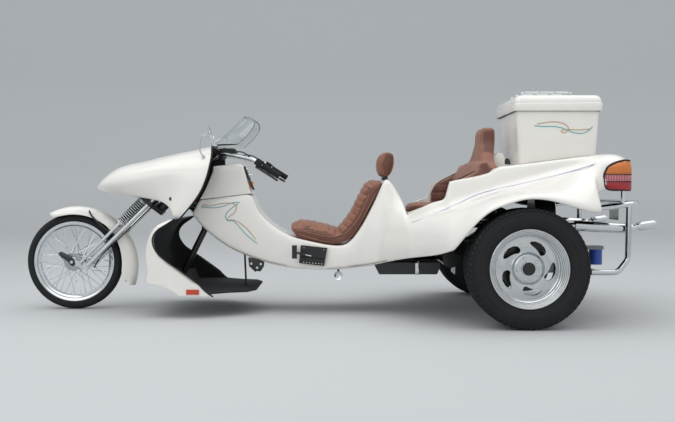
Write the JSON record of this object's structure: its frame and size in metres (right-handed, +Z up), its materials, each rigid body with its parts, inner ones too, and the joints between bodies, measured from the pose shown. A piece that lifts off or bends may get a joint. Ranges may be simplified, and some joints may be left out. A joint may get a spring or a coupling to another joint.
{
  "type": "motor trike",
  "caption": "Motor trike with a raked springer fork, spoked front wheel, moulded white body, brown bucket seats, wide rear wheels and a rear trunk with a hinged lid.",
  "frame": {"origin": "on the ground, below the middle of the bounding box", "axes": "-X towards the front of the trike, -Y to the rider's left, +Z up"},
  "size_m": [3.6504, 1.724, 1.298],
  "materials": {
    "white_gelcoat": "moulded glass fibre in gloss white gelcoat",
    "tyre_rubber": "matt black",
    "chrome": "bright plated",
    "polished_alloy": "polished",
    "black_steel": "satin black",
    "black_plastic": "satin black",
    "black_rubber": "matt black",
    "clear_screen": "clear acrylic",
    "brown_leather": "sewn brown hide",
    "cast_alloy": "as cast",
    "amber_lens": "ribbed lens",
    "red_lens": "ribbed lens",
    "blue_filter": "gloss blue",
    "grey_floor": "textured black"
  },
  "bodies": {
    "body": {"frame": "black_steel", "nose_cowl": "white_gelcoat", "headlamp_cover": "clear_screen", "headlamps": "chrome", "leg_shields": "white_gelcoat", "floorboard": "grey_floor", "main_body": "white_gelcoat", "tub_pan": "white_gelcoat", "dash_pod": "white_gelcoat", "windscreen": "clear_screen", "mirrors": "chrome", "driver_seat": "brown_leather", "driver_headrest": "brown_leather", "passenger_seat": "brown_leather", "passenger_backrest": "brown_leather", "transaxle": "cast_alloy", "engine_case": "cast_alloy", "fan_shroud": "black_steel", "under_tray": "black_steel", "exhaust": "chrome", "rear_bumper": "chrome", "number_plate": "white_gelcoat", "oil_filter": "blue_filter", "tail_lamp_amber": "amber_lens", "tail_lamp_red": "red_lens", "side_markers": "amber_lens", "shift_gate": "black_plastic", "shift_lever": "black_plastic", "trunk_box": "white_gelcoat"},
    "fork": {"fork_crowns": "black_steel", "fork_rear_legs": "chrome", "fork_spring_legs": "chrome", "fork_springs": "chrome", "fork_rockers": "chrome", "front_fender": "white_gelcoat", "handlebar": "chrome", "grips": "black_rubber", "gauge_pod": "black_plastic"},
    "front_wheel_body": {"front_tyre": "tyre_rubber", "front_wheel": "chrome"},
    "rear_left": {"rear_left_tyre": "tyre_rubber", "rear_left_wheel": "polished_alloy"},
    "rear_right": {"rear_right_tyre": "tyre_rubber", "rear_right_wheel": "polished_alloy"},
    "lid": {"trunk_lid": "white_gelcoat", "lid_rack": "chrome"}
  },
  "joints": [
    {"name": "steer", "type": "hinge", "parent": "body", "child": "fork", "pos_m": [-0.93003, 0, 0.69297], "axis": [0.7071, 0, 0.7071], "range_deg": [-20, 20]},
    {"name": "front_wheel_spin", "type": "hinge", "parent": "fork", "child": "front_wheel_body", "pos_m": [-1.535, 0, 0.289], "axis": [0, 1, 0], "continuous": true},
    {"name": "rear_left_spin", "type": "hinge", "parent": "body", "child": "rear_left", "pos_m": [1.043, -0.735, 0.315], "axis": [0, 1, 0], "continuous": true},
    {"name": "rear_right_spin", "type": "hinge", "parent": "body", "child": "rear_right", "pos_m": [1.043, 0.735, 0.315], "axis": [0, 1, 0], "continuous": true},
    {"name": "lid_hinge", "type": "hinge", "parent": "body", "child": "lid", "pos_m": [1.066, 0, 1.163], "axis": [0, -1, 0], "range_deg": [0, 75]}
  ]
}
